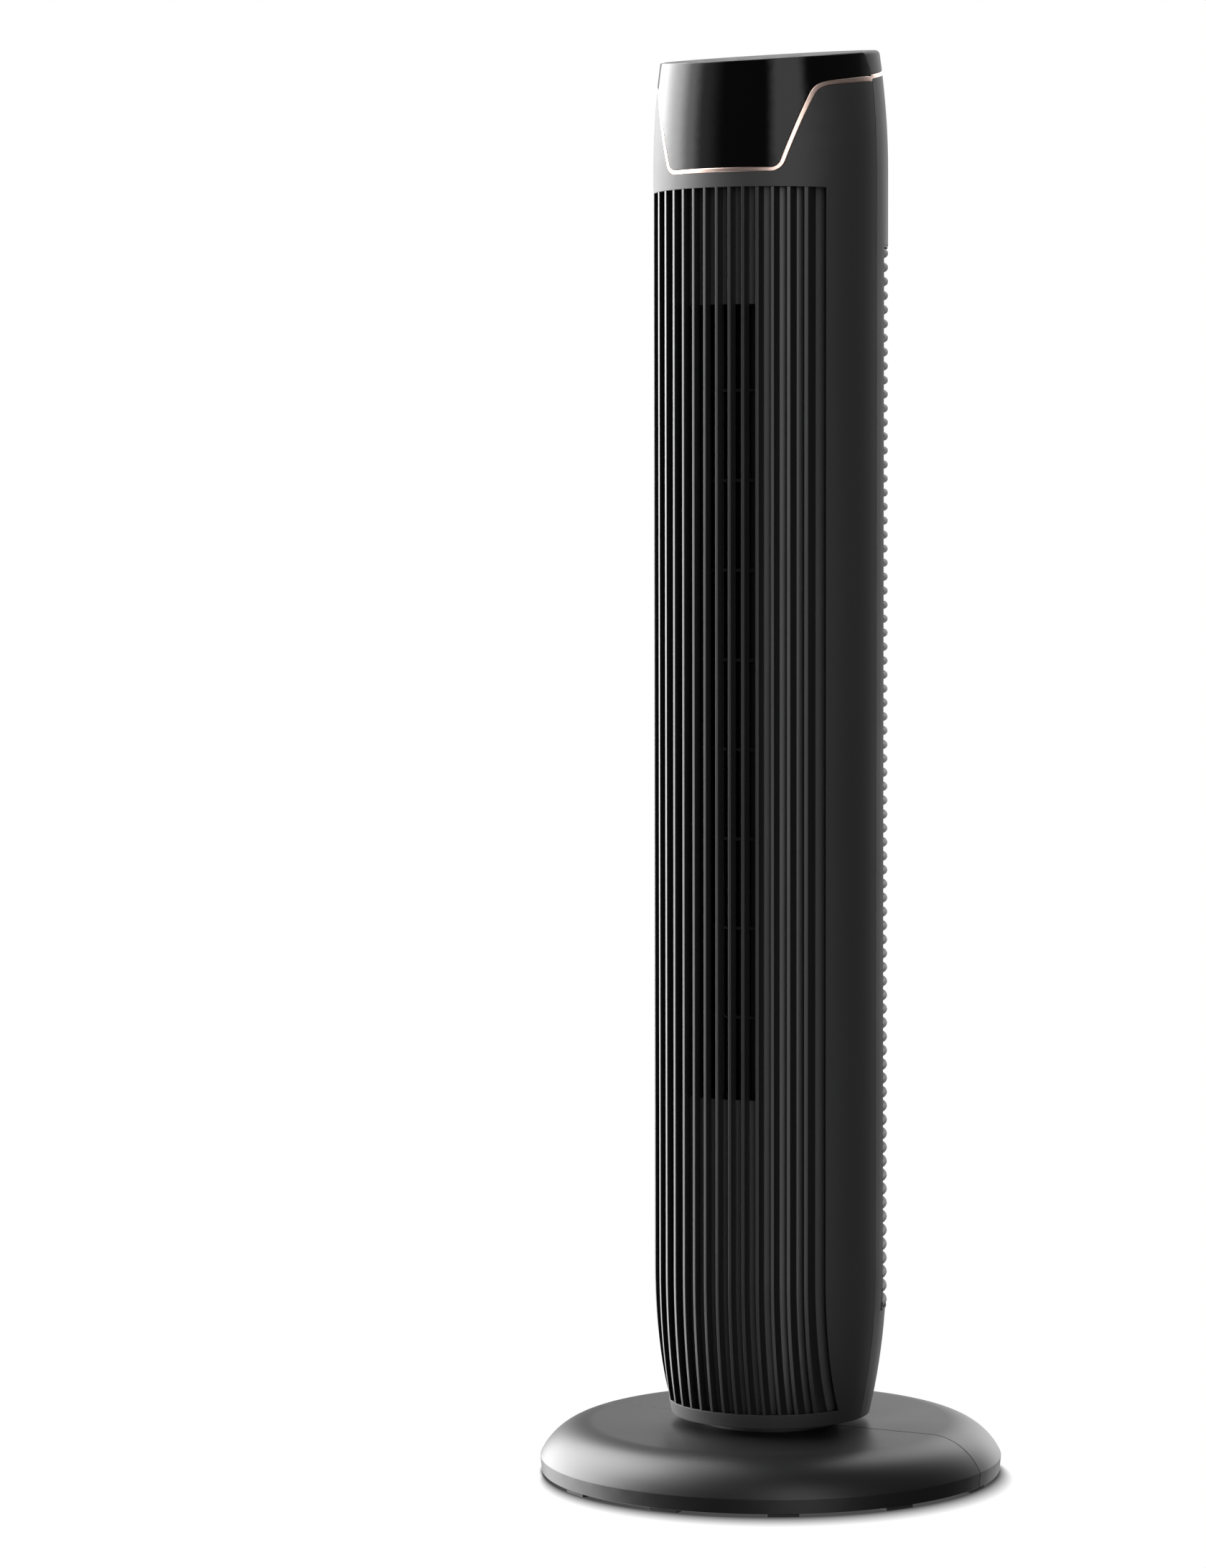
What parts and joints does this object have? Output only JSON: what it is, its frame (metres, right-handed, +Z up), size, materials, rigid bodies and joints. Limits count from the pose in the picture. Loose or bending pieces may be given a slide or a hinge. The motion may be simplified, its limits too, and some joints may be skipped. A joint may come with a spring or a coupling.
{
  "type": "tower fan",
  "caption": "Slim free-standing tower fan with a round base, upright outlet fins, barred inlet, tilted glossy head and a swinging body.",
  "frame": {"origin": "on the floor under the middle of the round base", "axes": "+Z up along the tower, the outlet grille and the glossy lens face -Y"},
  "size_m": [0.33, 0.33, 1.0156],
  "materials": {
    "satin_black_abs": "satin black moulded ABS",
    "deep_black_abs": "plain black moulded plastic",
    "gloss_black_acrylic": "polished smoked acrylic",
    "rose_gold_plating": "rose gold plating",
    "black_rubber": "moulded rubber",
    "zinc_steel": "zinc plated steel",
    "copper_wire": "enamelled copper wire",
    "sintered_bronze": "sintered bronze",
    "circuit_board": "green solder mask",
    "natural_acetal": "natural white plastic"
  },
  "bodies": {
    "base": {"base_front_half": "satin_black_abs", "base_rear_half": "satin_black_abs", "foot_pads": "black_rubber", "pivot_base": "deep_black_abs", "swivel_gear": "natural_acetal", "swivel_washer": "natural_acetal", "base_screws": "zinc_steel"},
    "tower": {"turntable": "deep_black_abs", "retaining_ring": "zinc_steel", "front_housing": "satin_black_abs", "rear_housing": "satin_black_abs", "front_grille": "satin_black_abs", "rear_grille": "satin_black_abs", "air_duct": "satin_black_abs", "head_trim": "rose_gold_plating", "display_lens": "gloss_black_acrylic", "top_cap": "satin_black_abs", "housing_screws": "zinc_steel", "motor_mount": "zinc_steel", "motor_upper_bell": "zinc_steel", "motor_lower_bell": "zinc_steel", "motor_stator": "zinc_steel", "motor_windings": "copper_wire", "motor_bushes": "sintered_bronze", "motor_grommets": "black_rubber", "motor_screws": "zinc_steel", "bearing_holder": "zinc_steel", "bearing_bush": "sintered_bronze", "swing_motor": "zinc_steel", "swing_motor_screws": "zinc_steel", "power_board": "circuit_board", "motor_capacitor": "natural_acetal", "terminal_block": "circuit_board", "cord_gland": "black_rubber", "control_board": "circuit_board", "tact_switches": "zinc_steel", "display_board": "circuit_board", "led_modules": "natural_acetal", "ir_receiver": "gloss_black_acrylic"},
    "impeller": {"impeller": "deep_black_abs", "impeller_hub": "black_rubber", "impeller_top_shaft": "zinc_steel", "motor_shaft": "zinc_steel", "motor_rotor": "zinc_steel"},
    "pinion": {"swing_pinion": "natural_acetal"},
    "button_power": {"button_power": "gloss_black_acrylic"},
    "button_speed": {"button_speed": "gloss_black_acrylic"},
    "button_mode": {"button_mode": "gloss_black_acrylic"},
    "button_timer": {"button_timer": "gloss_black_acrylic"},
    "button_swing": {"button_swing": "gloss_black_acrylic"}
  },
  "joints": [
    {"name": "tower_swing", "type": "hinge", "parent": "base", "child": "tower", "pos_m": [0, 0, 0.0428], "axis": [0, 0, 1], "range_deg": [-35, 35]},
    {"name": "impeller_spin", "type": "hinge", "parent": "tower", "child": "impeller", "pos_m": [0, 0, 0.55], "axis": [0, 0, 1], "continuous": true},
    {"name": "pinion_spin", "type": "hinge", "parent": "tower", "child": "pinion", "pos_m": [0, 0.03188, 0.0333], "axis": [0, 0, 1], "range_deg": [-85, 85]},
    {"name": "press_power", "type": "slide", "parent": "tower", "child": "button_power", "axis": [0, 0.1305, -0.9914], "range_m": [0, 0.0008], "stiffness_N_per_m": 400, "springref_m": -0.0006},
    {"name": "press_speed", "type": "slide", "parent": "tower", "child": "button_speed", "axis": [0, 0.1305, -0.9914], "range_m": [0, 0.0008], "stiffness_N_per_m": 400, "springref_m": -0.0006},
    {"name": "press_mode", "type": "slide", "parent": "tower", "child": "button_mode", "axis": [0, 0.1305, -0.9914], "range_m": [0, 0.0008], "stiffness_N_per_m": 400, "springref_m": -0.0006},
    {"name": "press_timer", "type": "slide", "parent": "tower", "child": "button_timer", "axis": [0, 0.1305, -0.9914], "range_m": [0, 0.0008], "stiffness_N_per_m": 400, "springref_m": -0.0006},
    {"name": "press_swing", "type": "slide", "parent": "tower", "child": "button_swing", "axis": [0, 0.1305, -0.9914], "range_m": [0, 0.0008], "stiffness_N_per_m": 400, "springref_m": -0.0006}
  ],
  "couplings": [
    {"joint": "pinion_spin", "follows": "tower_swing", "ratio": 2.4}
  ]
}
